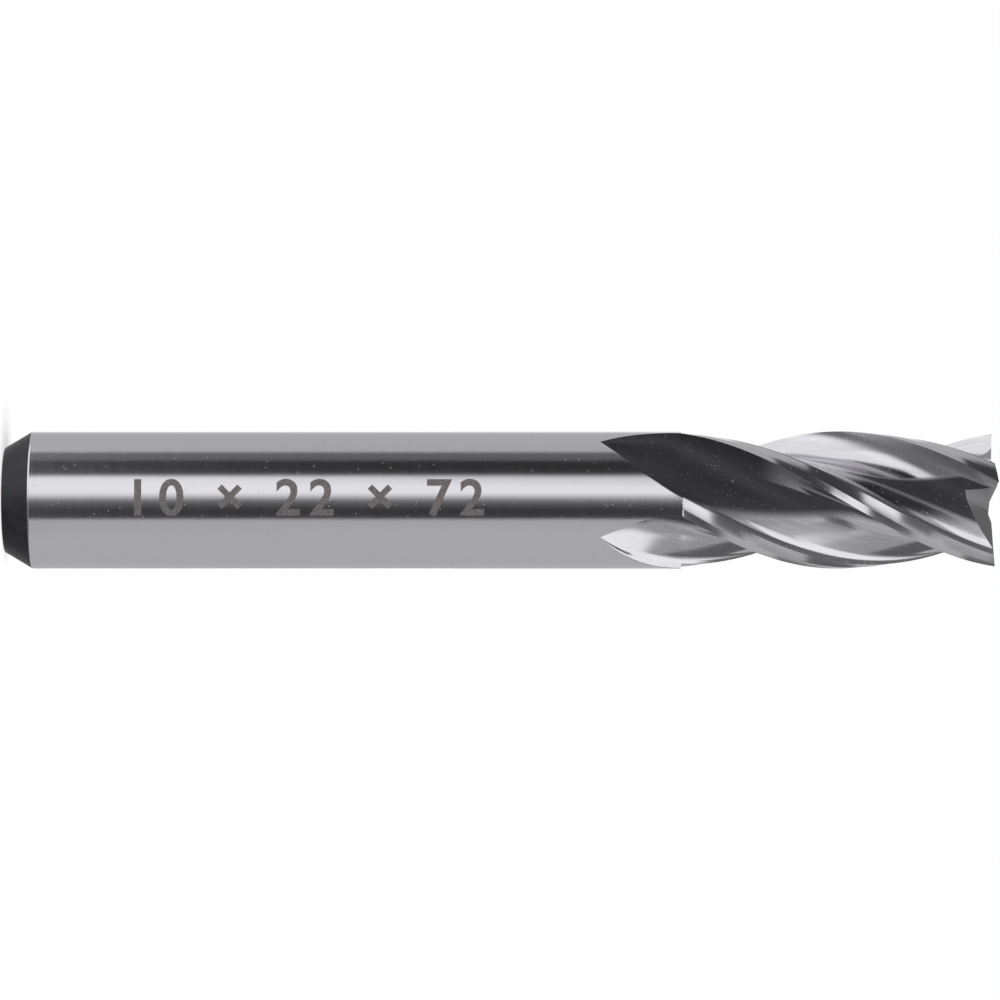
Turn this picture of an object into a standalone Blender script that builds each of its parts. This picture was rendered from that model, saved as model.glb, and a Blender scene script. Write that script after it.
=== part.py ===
"""A four-flute end mill, ground all over from one bar of high speed steel.

The tool stands on the end of its shank. +Z runs from that end to the teeth, and the origin is the centre
of the shank's end face. Lengths are metres. The teeth cut towards +angle about +Z, which is clockwise seen
from the shank, and they follow a right-hand helix.

The flutes, the lands behind the cutting edges and the flutes' run-out into the shank are one loft. The
end teeth are then ground into its end: a hollow cone, a relief behind each end edge and a gash in front.
"""

import math

import bmesh
import bpy
from mathutils import Vector

MM = 0.001

# The bar
TOOL_DIAMETER = 10.0 * MM
OVERALL_LENGTH = 72.0 * MM
SHANK_CHAMFER_LENGTH = 2.0 * MM
SHANK_CHAMFER_DEPTH = 1.2 * MM

# The teeth round the tool
TOOTH_COUNT = 4
HELIX_ANGLE = math.radians(30.0)
CUTTING_LENGTH = 22.8 * MM
CORE_DIAMETER = 5.8 * MM
RAKE_ANGLE = math.radians(12.0)
PRIMARY_LAND_WIDTH = 0.60 * MM
PRIMARY_RELIEF = math.radians(11.0)
SECONDARY_LAND_WIDTH = 0.98 * MM
SECONDARY_RELIEF = math.radians(26.0)
TOOTH_BACK_RADIUS = 4.4 * MM
HEEL_RISE_RADIUS = 1.8 * MM
HEEL_RISE_ANGLE = math.radians(67.0)
FIRST_TOOTH_ANGLE = math.radians(-15.0)

# The run-out of each flute into the shank. Its closing point lies this share of the way from the cutting
# edge to the next tooth's heel, and its edge side closes in by this power of what is left to run. A flute
# has its full width where the lands start, and its full depth at a greater length from the closing point.
RUN_OUT_LENGTH = 5.9 * MM
FULL_DEPTH_LENGTH = 10.5 * MM
RUN_OUT_CLOSING_SHARE = 0.80
RUN_OUT_EDGE_POWER = 1.3
RUN_OUT_LIP = math.radians(1.6)

# The end teeth. Two opposite ones reach the centre, and the others stop short of it.
DISH_ANGLE = math.radians(3.0)
END_RELIEF = math.radians(7.0)
CENTRE_WEB = 0.20 * MM
WEB_CLEARANCE = 0.02 * MM
GASH_ANGLE = math.radians(30.0)
GASH_FLOOR_WIDTH = 0.60 * MM
GASH_SIDE_ANGLE = math.radians(20.0)
LONG_GASH_DEPTH = 0.30 * MM
SHORT_GASH_START = 0.90 * MM

# The centre hole that the tool was ground on, in the end of its shank
CENTRE_DRILL_DIAMETER = 1.6 * MM
CENTRE_DRILL_DEPTH = 3.4 * MM
CENTRE_DRILL_POINT = math.radians(118.0)
COUNTERSINK_DIAMETER = 3.35 * MM
COUNTERSINK_ANGLE = math.radians(60.0)

# Fineness of the facets
HOOK_STEPS = 9
BACK_STEPS = 4
RISE_STEPS = 3
SHANK_STEPS = 16
RUN_OUT_STEPS = 10
STATION_SPACING = 0.62 * MM
RUN_OUT_CROWDING = 1.3
HOLE_STEPS = 32

# How far a cutter reaches past what it cuts, and how near two points of a ring are one
CUTTER_MARGIN = 1.0 * MM
SAME_POINT = 1e-6 * MM

EDGE_RADIUS = TOOL_DIAMETER / 2
CORE_RADIUS = CORE_DIAMETER / 2
SECTOR = 2 * math.pi / TOOTH_COUNT
TWIST = math.tan(HELIX_ANGLE) / EDGE_RADIUS
LAND_START = OVERALL_LENGTH - CUTTING_LENGTH
RUN_OUT_START = LAND_START - RUN_OUT_LENGTH
TOOTH_ANGLES = [FIRST_TOOTH_ANGLE + i * SECTOR for i in range(TOOTH_COUNT)]


def at_angle(radius, angle):
    return Vector((radius * math.cos(angle), radius * math.sin(angle)))


def angle_of(point):
    return math.atan2(point.y, point.x)


def turned(point, angle):
    """The point turned about the tool's axis."""
    return at_angle(point.length, angle_of(point) + angle)


def land_points():
    """The end of the primary land and the heel, behind a cutting edge that lies at angle 0."""
    edge = Vector((EDGE_RADIUS, 0))
    land_end = edge - PRIMARY_LAND_WIDTH * Vector((math.sin(PRIMARY_RELIEF), math.cos(PRIMARY_RELIEF)))
    heel = land_end - SECONDARY_LAND_WIDTH * Vector((math.sin(SECONDARY_RELIEF), math.cos(SECONDARY_RELIEF)))
    return land_end, heel


def hook_circle():
    """Centre and radius of the hollow in front of an edge: it leaves the edge at the rake angle and
    touches the core."""
    reach = EDGE_RADIUS**2 - CORE_RADIUS**2
    radius = reach / (2 * (CORE_RADIUS + EDGE_RADIUS * math.sin(RAKE_ANGLE)))
    centre = Vector((EDGE_RADIUS - radius * math.sin(RAKE_ANGLE), radius * math.cos(RAKE_ANGLE)))
    return centre, radius


def rise_centre(heel):
    """Centre of the small hollow that turns the tooth's back up to its heel."""
    return heel + at_angle(HEEL_RISE_RADIUS, angle_of(heel) - HEEL_RISE_ANGLE)


def back_centre(hook_centre, hook_radius, hollow_centre):
    """Centre of the tooth's rounded back, which runs smoothly into the hook and the hollow at the heel."""
    between = hollow_centre - hook_centre
    distance = between.length
    to_hook = TOOTH_BACK_RADIUS + hook_radius
    to_hollow = TOOTH_BACK_RADIUS + HEEL_RISE_RADIUS
    along = (to_hook**2 - to_hollow**2 + distance**2) / (2 * distance)
    aside = math.sqrt(to_hook**2 - along**2)
    direction = between / distance
    sideways = Vector((direction.y, -direction.x))
    candidates = [hook_centre + along * direction + side * aside * sideways for side in (1, -1)]
    return min(candidates, key=lambda point: point.length)


def arc(centre, start, end, steps):
    """Points along the shorter arc from start to end, both included."""
    first = angle_of(start - centre)
    sweep = (angle_of(end - centre) - first + math.pi) % (2 * math.pi) - math.pi
    radius = (start - centre).length
    return [centre + at_angle(radius, first + sweep * i / steps) for i in range(steps + 1)]


def flute_section():
    """One flute across the tool, from the cutting edge at angle 0 to the next tooth's heel."""
    heel = turned(land_points()[1], SECTOR)
    hook_centre, hook_radius = hook_circle()
    hollow_centre = rise_centre(heel)
    centre = back_centre(hook_centre, hook_radius, hollow_centre)
    hook_end = hook_centre + hook_radius * (centre - hook_centre).normalized()
    back_end = hollow_centre + HEEL_RISE_RADIUS * (centre - hollow_centre).normalized()
    hook = arc(hook_centre, Vector((EDGE_RADIUS, 0)), hook_end, HOOK_STEPS)
    back = arc(centre, hook_end, back_end, BACK_STEPS)
    rise = arc(hollow_centre, back_end, heel, RISE_STEPS)
    return hook + back[1:] + rise[1:]


def depth_share_at(height):
    """How much of its full depth a flute has at this height."""
    left = max(0.0, 1 - (height - RUN_OUT_START) / FULL_DEPTH_LENGTH)
    return 1 - left**2


def shaped_flute(section, width_share, depth_share):
    """A flute's section drawn in to a share of its width and of its depth, and the angles of its sides."""
    left = 1 - width_share
    full_angle = angle_of(section[-1])
    closing = RUN_OUT_CLOSING_SHARE * full_angle
    edge_side = closing * left**RUN_OUT_EDGE_POWER
    heel_side = full_angle - (full_angle - closing) * left**2
    heel_drop = (EDGE_RADIUS - section[-1].length) * (1 - left**2)
    points = []
    for point in section:
        across = angle_of(point) / full_angle
        surface = EDGE_RADIUS - heel_drop * across
        radius = surface - (surface - point.length) * depth_share
        points.append(at_angle(radius, edge_side + across * (heel_side - edge_side)))
    return points, edge_side, heel_side


def run_out_sector(section, height):
    """One sector of the shank where a flute runs out: the flute, the lip past its heel side and the bar's
    own surface."""
    share = min(1.0, (height - RUN_OUT_START) / RUN_OUT_LENGTH)
    points, edge_side, heel_side = shaped_flute(section, share, depth_share_at(height))
    lip = heel_side + RUN_OUT_LIP * (1 - (1 - share) ** 2)
    next_edge = SECTOR + edge_side
    for i in range(SHANK_STEPS):
        points.append(at_angle(EDGE_RADIUS, lip + (next_edge - lip) * i / SHANK_STEPS))
    return points


def helix_angle_at(height):
    """Angle of the first tooth's edge at this height."""
    return FIRST_TOOTH_ANGLE + TWIST * (height - OVERALL_LENGTH)


def add_ring(mesh, sector_points, height, angle):
    """A vertex for each point of each sector. Points that coincide share one vertex."""
    ring = []
    for tooth in range(TOOTH_COUNT):
        for point in sector_points:
            place = turned(point, angle + tooth * SECTOR).to_3d()
            place.z = height
            if ring and (ring[-1].co - place).length < SAME_POINT:
                ring.append(ring[-1])
            else:
                ring.append(mesh.verts.new(place))
    return ring


def bridge(mesh, lower, upper, material=0):
    """Faces between two rings, as triangles where either ring has a shared vertex."""
    for i in range(len(lower)):
        j = (i + 1) % len(lower)
        corners = list(dict.fromkeys((lower[i], lower[j], upper[j], upper[i])))
        if len(corners) > 2:
            mesh.faces.new(corners).material_index = material


def finish_mesh(mesh, name, materials=()):
    data = bpy.data.meshes.new(name)
    mesh.to_mesh(data)
    mesh.free()
    for material in materials:
        data.materials.append(material)
    made = bpy.data.objects.new(name, data)
    bpy.context.scene.collection.objects.link(made)
    return made


def steel(name, colour, metallic, roughness):
    material = bpy.data.materials.new(name)
    material.use_nodes = True
    shader = material.node_tree.nodes["Principled BSDF"]
    shader.inputs["Base Color"].default_value = (*colour, 1)
    shader.inputs["Metallic"].default_value = metallic
    shader.inputs["Roughness"].default_value = roughness
    material.diffuse_color = (*colour, 1)
    return material


def make_blank():
    """The shank and the fluted length as one loft, left longer than the tool for the end grinding."""
    section = flute_section()
    land_end = turned(land_points()[0], SECTOR)
    mesh = bmesh.new()

    # The shank's rings repeat the ring on which the flutes close
    closing_sector = run_out_sector(section, RUN_OUT_START)
    closing_angle = helix_angle_at(RUN_OUT_START)
    scale = (EDGE_RADIUS - SHANK_CHAMFER_DEPTH) / EDGE_RADIUS
    end_ring = add_ring(mesh, [scale * point for point in closing_sector], 0, closing_angle)
    chamfer_ring = add_ring(mesh, closing_sector, SHANK_CHAMFER_LENGTH, closing_angle)
    bridge(mesh, end_ring, chamfer_ring, material=1)
    mesh.faces.new(list(dict.fromkeys(reversed(end_ring)))).material_index = 1

    below = chamfer_ring
    for i in range(RUN_OUT_STEPS + 1):
        share = (i / RUN_OUT_STEPS) ** RUN_OUT_CROWDING
        height = RUN_OUT_START + share * RUN_OUT_LENGTH
        ring = add_ring(mesh, run_out_sector(section, height), height, helix_angle_at(height))
        bridge(mesh, below, ring)
        below = ring

    # At the start of the lands, the flutes run on and each land steps down from the bar's surface
    sector_size = len(below) // TOOTH_COUNT
    flute_size = len(section)
    fluted = []
    for tooth in range(TOOTH_COUNT):
        first = tooth * sector_size
        place = turned(land_end, helix_angle_at(LAND_START) + tooth * SECTOR).to_3d()
        place.z = LAND_START
        break_vertex = mesh.verts.new(place)
        step = below[first + flute_size - 1 : first + sector_size]
        next_edge = below[(first + sector_size) % len(below)]
        mesh.faces.new([*step, next_edge, break_vertex])
        fluted += [*below[first : first + flute_size], break_vertex]

    top = OVERALL_LENGTH + CUTTER_MARGIN
    count = round((top - LAND_START) / STATION_SPACING)
    for i in range(1, count + 1):
        height = LAND_START + (top - LAND_START) * i / count
        flute = shaped_flute(section, 1, depth_share_at(height))[0]
        ring = add_ring(mesh, [*flute, land_end], height, helix_angle_at(height))
        bridge(mesh, fluted, ring)
        fluted = ring
    mesh.faces.new(fluted)
    return finish_mesh(
        mesh,
        "end_mill",
        [
            steel("ground_high_speed_steel", (0.56, 0.55, 0.54), 1.0, 0.25),
            steel("black_heat_treatment_scale", (0.03, 0.03, 0.032), 0.4, 0.55),
        ],
    )


def add_cutter(name, lower, upper):
    """A closed prism between two outlines of as many points, as a helper that cuts and isn't seen."""
    mesh = bmesh.new()
    rings = [[mesh.verts.new(place) for place in outline] for outline in (lower, upper)]
    bridge(mesh, *rings)
    mesh.faces.new(list(reversed(rings[0])))
    mesh.faces.new(rings[1])
    bmesh.ops.recalc_face_normals(mesh, faces=mesh.faces)
    cutter = finish_mesh(mesh, name)
    cutter.hide_render = True
    cutter.display_type = "WIRE"
    return cutter


def turned_cutter(name, profile):
    """A closed solid turned about +Z. The profile's (radius, height) points start and end on the axis."""
    mesh = bmesh.new()
    bottom = mesh.verts.new((0, 0, profile[0][1]))
    top = mesh.verts.new((0, 0, profile[-1][1]))
    rings = [
        [mesh.verts.new((*at_angle(radius, 2 * math.pi * i / HOLE_STEPS), height)) for i in range(HOLE_STEPS)]
        for radius, height in profile[1:-1]
    ]
    bridge(mesh, [bottom] * HOLE_STEPS, rings[0])
    for lower, upper in zip(rings, rings[1:]):
        bridge(mesh, lower, upper)
    bridge(mesh, rings[-1], [top] * HOLE_STEPS)
    bmesh.ops.recalc_face_normals(mesh, faces=mesh.faces)
    cutter = finish_mesh(mesh, name)
    cutter.hide_render = True
    cutter.display_type = "WIRE"
    return cutter


def end_height(along, behind=0.0):
    """Height of a tooth's end: along its edge from the axis, and behind that edge."""
    return (
        OVERALL_LENGTH
        - (EDGE_RADIUS - along) * math.tan(DISH_ANGLE)
        - behind * math.tan(END_RELIEF)
    )


def place_by_tooth(angle, along, ahead, height):
    """A place given along a tooth's end edge and ahead of it."""
    return Vector(
        (
            along * math.cos(angle) - ahead * math.sin(angle),
            along * math.sin(angle) + ahead * math.cos(angle),
            height,
        )
    )


def dish_cutter():
    """Takes the spare length off down to a hollow cone, on which the end edges lie."""
    reach = EDGE_RADIUS + CUTTER_MARGIN
    top = OVERALL_LENGTH + 2 * CUTTER_MARGIN
    return turned_cutter("dish_cutter", [(0, end_height(0)), (reach, end_height(reach)), (reach, top), (0, top)])


def end_relief_cutter(tooth, angle):
    """Slopes a tooth's end down behind its edge. It starts just outside the web that is left between the
    two teeth that reach the centre."""
    near, far = CENTRE_WEB / 2 + WEB_CLEARANCE, EDGE_RADIUS + CUTTER_MARGIN
    top = OVERALL_LENGTH + 2 * CUTTER_MARGIN
    corners = [(near, -far), (far, -far), (far, CENTRE_WEB), (near, CENTRE_WEB)]
    lower = [place_by_tooth(angle, along, ahead, end_height(along, -ahead)) for along, ahead in corners]
    upper = [place_by_tooth(angle, along, ahead, top) for along, ahead in corners]
    return add_cutter(f"end_relief_cutter_{tooth}", lower, upper)


def gash_cutter(tooth, angle):
    """The groove in front of an end edge: a wall on the edge, a narrow flat floor that runs down and
    outwards, and a shallow far side that frees the next tooth's end."""
    reaches_centre = tooth % 2 == 1
    slope = math.tan(GASH_ANGLE)
    if reaches_centre:
        height_on_axis = end_height(0) - LONG_GASH_DEPTH
    else:
        height_on_axis = end_height(0) + SHORT_GASH_START * slope
    top = OVERALL_LENGTH + 2 * CUTTER_MARGIN
    side_width = EDGE_RADIUS + CUTTER_MARGIN
    outlines = []
    for along in (-CUTTER_MARGIN, EDGE_RADIUS + CUTTER_MARGIN):
        wall = CENTRE_WEB / 2 * (1 - along / EDGE_RADIUS)
        floor = height_on_axis - along * slope
        side = wall + GASH_FLOOR_WIDTH
        section = [
            (wall, floor),
            (side, floor),
            (side + side_width, floor + side_width * math.tan(GASH_SIDE_ANGLE)),
            (side + side_width, top + side_width),
            (wall, top + side_width),
        ]
        outlines.append([place_by_tooth(angle, along, ahead, height) for ahead, height in section])
    return add_cutter(f"gash_cutter_{tooth}", *outlines)


def centre_hole_cutter():
    """The drilled and countersunk centre hole in the shank's end."""
    drill = CENTRE_DRILL_DIAMETER / 2
    sink = COUNTERSINK_DIAMETER / 2
    sink_slope = math.tan(COUNTERSINK_ANGLE / 2)
    sink_depth = (sink - drill) / sink_slope
    point_depth = drill / math.tan(CENTRE_DRILL_POINT / 2)
    return turned_cutter(
        "centre_hole_cutter",
        [
            (0, -CUTTER_MARGIN),
            (sink + CUTTER_MARGIN * sink_slope, -CUTTER_MARGIN),
            (drill, sink_depth),
            (drill, CENTRE_DRILL_DEPTH),
            (0, CENTRE_DRILL_DEPTH + point_depth),
        ],
    )


def cut(body, cutter):
    modifier = body.modifiers.new(cutter.name, "BOOLEAN")
    modifier.operation = "DIFFERENCE"
    modifier.solver = "EXACT"
    modifier.object = cutter


def main():
    for leftover in list(bpy.data.objects):
        bpy.data.objects.remove(leftover)
    end_mill = make_blank()
    end_mill.data.shade_smooth()
    end_mill.data.set_sharp_from_angle(angle=math.radians(25))
    cut(end_mill, centre_hole_cutter())
    cut(end_mill, dish_cutter())
    for tooth, angle in enumerate(TOOTH_ANGLES):
        cut(end_mill, end_relief_cutter(tooth, angle))
    for tooth, angle in enumerate(TOOTH_ANGLES):
        cut(end_mill, gash_cutter(tooth, angle))


main()
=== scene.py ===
# %% [markdown]
# # A four-flute end mill
#
# The tool is ground all over from one bar of high speed steel: a plain round shank with a black chamfered
# end, and a fluted length with four teeth. It stands on the end of its shank, as it would in a tool tray.
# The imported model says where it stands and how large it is. This script gives it its fine surface, its
# steel and a plain studio.

import math

import bmesh
import bpy
from mathutils import Matrix, Vector


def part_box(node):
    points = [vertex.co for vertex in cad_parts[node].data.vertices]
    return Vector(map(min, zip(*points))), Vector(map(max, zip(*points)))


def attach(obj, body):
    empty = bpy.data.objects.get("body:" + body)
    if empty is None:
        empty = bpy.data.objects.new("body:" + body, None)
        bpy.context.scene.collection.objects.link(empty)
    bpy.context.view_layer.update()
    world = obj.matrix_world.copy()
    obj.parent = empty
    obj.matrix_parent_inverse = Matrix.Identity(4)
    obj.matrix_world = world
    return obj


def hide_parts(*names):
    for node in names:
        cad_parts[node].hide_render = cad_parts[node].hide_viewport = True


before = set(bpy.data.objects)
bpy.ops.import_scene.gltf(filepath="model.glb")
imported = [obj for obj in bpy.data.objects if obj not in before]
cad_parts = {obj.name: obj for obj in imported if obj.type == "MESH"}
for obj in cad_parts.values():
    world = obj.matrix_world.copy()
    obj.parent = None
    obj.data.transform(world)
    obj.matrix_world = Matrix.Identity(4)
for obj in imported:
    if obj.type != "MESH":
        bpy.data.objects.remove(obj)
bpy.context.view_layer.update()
low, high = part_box("end_mill")
print("packed tool, mm:", [round(1000 * side, 2) for side in high - low])

# %% [markdown]
# ## Sizes
#
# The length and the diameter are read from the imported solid, so that the fine surface always fits it. The
# rest are the sizes that a grinder sets: the helix, the core, the rake of the cutting face, the two lands
# behind each edge, and the end teeth. A land is the narrow strip left behind a cutting edge, and relief
# is the angle by which it falls away so that it doesn't rub.

# %% Sizes of the tool
MM = 0.001

OVERALL_LENGTH = high.z - low.z
EDGE_RADIUS = (high.x - low.x) / 2
SHANK_CHAMFER_LENGTH = 2.0 * MM
SHANK_CHAMFER_DEPTH = 1.2 * MM

TOOTH_COUNT = 4
HELIX_ANGLE = math.radians(30.0)
CUTTING_LENGTH = 22.8 * MM
CORE_RADIUS = 2.9 * MM
RAKE_ANGLE = math.radians(12.0)
PRIMARY_LAND_WIDTH = 0.60 * MM
PRIMARY_RELIEF = math.radians(11.0)
SECONDARY_LAND_WIDTH = 0.98 * MM
SECONDARY_RELIEF = math.radians(26.0)
TOOTH_BACK_RADIUS = 4.4 * MM
HEEL_RISE_RADIUS = 1.8 * MM
HEEL_RISE_ANGLE = math.radians(67.0)
FIRST_TOOTH_ANGLE = math.radians(-15.0)

RUN_OUT_LENGTH = 5.9 * MM
FULL_DEPTH_LENGTH = 10.5 * MM
RUN_OUT_CLOSING_SHARE = 0.80
RUN_OUT_EDGE_POWER = 1.3
RUN_OUT_LIP = math.radians(1.6)

SECTOR = 2 * math.pi / TOOTH_COUNT
TWIST = math.tan(HELIX_ANGLE) / EDGE_RADIUS
LAND_START = OVERALL_LENGTH - CUTTING_LENGTH
RUN_OUT_START = LAND_START - RUN_OUT_LENGTH
print("lead of the helix, mm:", round(2 * math.pi / TWIST / MM, 1))

# %% [markdown]
# ## The camera
#
# The photograph looks at the tool square from the side, from about 0.4 m, with the tool lying across the
# picture. A camera rolled by a quarter turn shows the standing tool that way: the picture's right is the
# tool's +Z, and its top is -X.

# %% The camera
CAMERA_DISTANCE = 0.410
CAMERA_HEIGHT = 0.03605
CAMERA_LENS = 202.5
NEAREST_SEEN = 0.01


def new_object(name, data):
    made = bpy.data.objects.new(name, data)
    bpy.context.scene.collection.objects.link(made)
    return made


camera_data = bpy.data.cameras.new("camera")
camera_data.lens = CAMERA_LENS
camera_data.clip_start = NEAREST_SEEN
camera = new_object("camera", camera_data)
right, up, back = Vector((0, 0, 1)), Vector((-1, 0, 0)), Vector((0, -1, 0))
stand = Matrix.Translation(CAMERA_DISTANCE * back + CAMERA_HEIGHT * right)
camera.matrix_world = stand @ Matrix((right, up, back)).transposed().to_4x4()
bpy.context.scene.camera = camera
print("camera at, mm:", [round(part / MM) for part in camera.location])

# %% [markdown]
# ## One tooth, seen along the tool
#
# Everything about a flute is in its section. From the cutting edge the wheel left a hook, an arc that
# starts at the rake angle and just touches the core. It runs on smoothly into the rounded back of the next
# tooth, which turns up steeply to that tooth's heel. From the heel two flat lands climb to the next
# cutting edge.
#
# Arcs need only a centre and two ends, so the section is a few lines of geometry and no list of points.

# %% Arcs and corners
def at_angle(radius, angle):
    return Vector((radius * math.cos(angle), radius * math.sin(angle)))


def angle_of(point):
    return math.atan2(point.y, point.x)


def turned(point, angle):
    """The point turned about the tool's axis."""
    return at_angle(point.length, angle_of(point) + angle)


def arc(centre, start, end, steps, stop_short=0.0):
    """Points along the shorter arc from start towards end, which it can stop short of."""
    radius = (start - centre).length
    first = angle_of(start - centre)
    sweep = (angle_of(end - centre) - first + math.pi) % (2 * math.pi) - math.pi
    sweep -= math.copysign(stop_short / radius, sweep)
    return [centre + at_angle(radius, first + sweep * i / steps) for i in range(steps + 1)]


def line(start, end, steps):
    return [start.lerp(end, i / steps) for i in range(steps + 1)]


def rounded_corner(start, corner, end, steps):
    """A small rounding from start to end, drawn in by the corner between them."""
    points = []
    for i in range(steps + 1):
        t = i / steps
        points.append((1 - t) ** 2 * start + 2 * t * (1 - t) * corner + t**2 * end)
    return points


# %% The section of one flute and its lands
HOOK_STEPS = 30
BACK_STEPS = 16
RISE_STEPS = 10
CORNER_STEPS = 5
SECONDARY_STEPS = 24
PRIMARY_STEPS = 18
HEEL_ROUNDING = 0.12 * MM


def land_points():
    """The end of the primary land and the heel, behind a cutting edge that lies at angle 0."""
    edge = Vector((EDGE_RADIUS, 0))
    land_end = edge - PRIMARY_LAND_WIDTH * Vector((math.sin(PRIMARY_RELIEF), math.cos(PRIMARY_RELIEF)))
    heel = land_end - SECONDARY_LAND_WIDTH * Vector((math.sin(SECONDARY_RELIEF), math.cos(SECONDARY_RELIEF)))
    return land_end, heel


def hook_circle():
    reach = EDGE_RADIUS**2 - CORE_RADIUS**2
    radius = reach / (2 * (CORE_RADIUS + EDGE_RADIUS * math.sin(RAKE_ANGLE)))
    return Vector((EDGE_RADIUS - radius * math.sin(RAKE_ANGLE), radius * math.cos(RAKE_ANGLE))), radius


def rise_centre(heel):
    """Centre of the small hollow that turns the tooth's back up to its heel."""
    return heel + at_angle(HEEL_RISE_RADIUS, angle_of(heel) - HEEL_RISE_ANGLE)


def back_centre(hook_centre, hook_radius, hollow_centre):
    """Centre of the tooth's rounded back, which runs smoothly into the hook and the hollow at the heel."""
    between = hollow_centre - hook_centre
    distance = between.length
    to_hook = TOOTH_BACK_RADIUS + hook_radius
    to_hollow = TOOTH_BACK_RADIUS + HEEL_RISE_RADIUS
    along = (to_hook**2 - to_hollow**2 + distance**2) / (2 * distance)
    aside = math.sqrt(to_hook**2 - along**2)
    direction = between / distance
    sideways = Vector((direction.y, -direction.x))
    candidates = [hook_centre + along * direction + side * aside * sideways for side in (1, -1)]
    return min(candidates, key=lambda point: point.length)


def flute_section():
    """From the cutting edge at angle 0 to just short of the next tooth's heel."""
    heel = turned(land_points()[1], SECTOR)
    hook_centre, hook_radius = hook_circle()
    hollow_centre = rise_centre(heel)
    centre = back_centre(hook_centre, hook_radius, hollow_centre)
    hook_end = hook_centre + hook_radius * (centre - hook_centre).normalized()
    back_end = hollow_centre + HEEL_RISE_RADIUS * (centre - hollow_centre).normalized()
    hook = arc(hook_centre, Vector((EDGE_RADIUS, 0)), hook_end, HOOK_STEPS)
    tooth_back = arc(centre, hook_end, back_end, BACK_STEPS)
    rise = arc(hollow_centre, back_end, heel, RISE_STEPS, stop_short=2 * HEEL_ROUNDING)
    return hook + tooth_back[1:] + rise[1:]


def land_section(flute):
    """From the flute's last point over the rounded heel and both lands to the next cutting edge."""
    land_end, heel = [turned(point, SECTOR) for point in land_points()]
    start = heel + HEEL_ROUNDING * (flute[-1] - heel).normalized()
    end = heel + HEEL_ROUNDING * (land_end - heel).normalized()
    corner = rounded_corner(start, heel, end, CORNER_STEPS)
    edge = turned(Vector((EDGE_RADIUS, 0)), SECTOR)
    return corner + line(end, land_end, SECONDARY_STEPS)[1:] + line(land_end, edge, PRIMARY_STEPS)[1:]


flute = flute_section()
print("points across one flute:", len(flute), "and across its lands:", len(land_section(flute)))

# %% [markdown]
# ## The run-out into the shank
#
# A flute doesn't stop at a wall. The grinding wheel was lifted out of the bar, so the flute grows
# shallower and narrower and closes at a point. The relief on the lands starts later, at a small step.
#
# Both are the same section, changed by one number: the share of the way from the closing point to the full
# flute. A ring of the tool is kept as one sector, a quarter turn, and is cut off in the middle of a tooth.

# %% Rings of the run-out and of the fluted length
def depth_share_at(height):
    """How much of its full depth a flute has at this height."""
    left = max(0.0, 1 - (height - RUN_OUT_START) / FULL_DEPTH_LENGTH)
    return 1 - left**2


def shaped_flute(width_share, depth_share):
    """The flute's points drawn in to a share of its width and of its depth."""
    left = 1 - width_share
    full_angle = angle_of(turned(land_points()[1], SECTOR))
    closing = RUN_OUT_CLOSING_SHARE * full_angle
    edge_side = closing * left**RUN_OUT_EDGE_POWER
    heel_side = full_angle - (full_angle - closing) * left**2
    heel_drop = (EDGE_RADIUS - land_points()[1].length) * (1 - left**2)
    points = []
    for point in flute:
        across = angle_of(point) / full_angle
        surface = EDGE_RADIUS - heel_drop * across
        radius = surface - (surface - point.length) * depth_share
        points.append(at_angle(radius, edge_side + across * (heel_side - edge_side)))
    return points, edge_side, heel_side


def run_out_ring(height):
    """One sector of the bar where a flute runs out: the flute, a sharp lip and the bar's surface."""
    share = min(1.0, (height - RUN_OUT_START) / RUN_OUT_LENGTH)
    points, edge_side, heel_side = shaped_flute(share, depth_share_at(height))
    lip_angle = heel_side + RUN_OUT_LIP * (1 - (1 - share) ** 2)
    lip = at_angle(EDGE_RADIUS, lip_angle)
    wall = points[-1] - lip
    rounding = min(HEEL_ROUNDING, wall.length / 2)
    arc_start = lip_angle + rounding / EDGE_RADIUS
    start = lip + rounding * wall.normalized()
    points += rounded_corner(start, lip, at_angle(EDGE_RADIUS, arc_start), CORNER_STEPS)
    steps = SECONDARY_STEPS + PRIMARY_STEPS
    for i in range(1, steps + 1):
        angle = arc_start + (SECTOR + edge_side - arc_start) * i / steps
        points.append(at_angle(EDGE_RADIUS, angle))
    return split_on_tooth(points)


def fluted_ring(height):
    points = shaped_flute(1, depth_share_at(height))[0]
    return split_on_tooth(points + land_section(points))


def split_on_tooth(points):
    """Moves the sector's ends from the cutting edges to the middle of the teeth, where it is solid right
    down to the axis."""
    tail = [turned(point, -SECTOR) for point in points[-PRIMARY_STEPS - 1 : -1]]
    return tail + points[:-PRIMARY_STEPS]


print("points in one sector's ring:", len(fluted_ring(OVERALL_LENGTH)))

# %% [markdown]
# ## The shank's end
#
# Below the run-out the ring only changes its radius, so the shank's end is a turned profile: a centre hole
# with its countersink, the flat end face and the chamfer, each corner slightly rounded as a file or a
# tumbling drum leaves it.

# %% The turned profile of the shank's end
CENTRE_DRILL_RADIUS = 0.8 * MM
CENTRE_DRILL_DEPTH = 3.4 * MM
CENTRE_DRILL_POINT = math.radians(118.0)
COUNTERSINK_RADIUS = 1.675 * MM
COUNTERSINK_ANGLE = math.radians(60.0)
END_ROUNDING = 0.12 * MM


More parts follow.
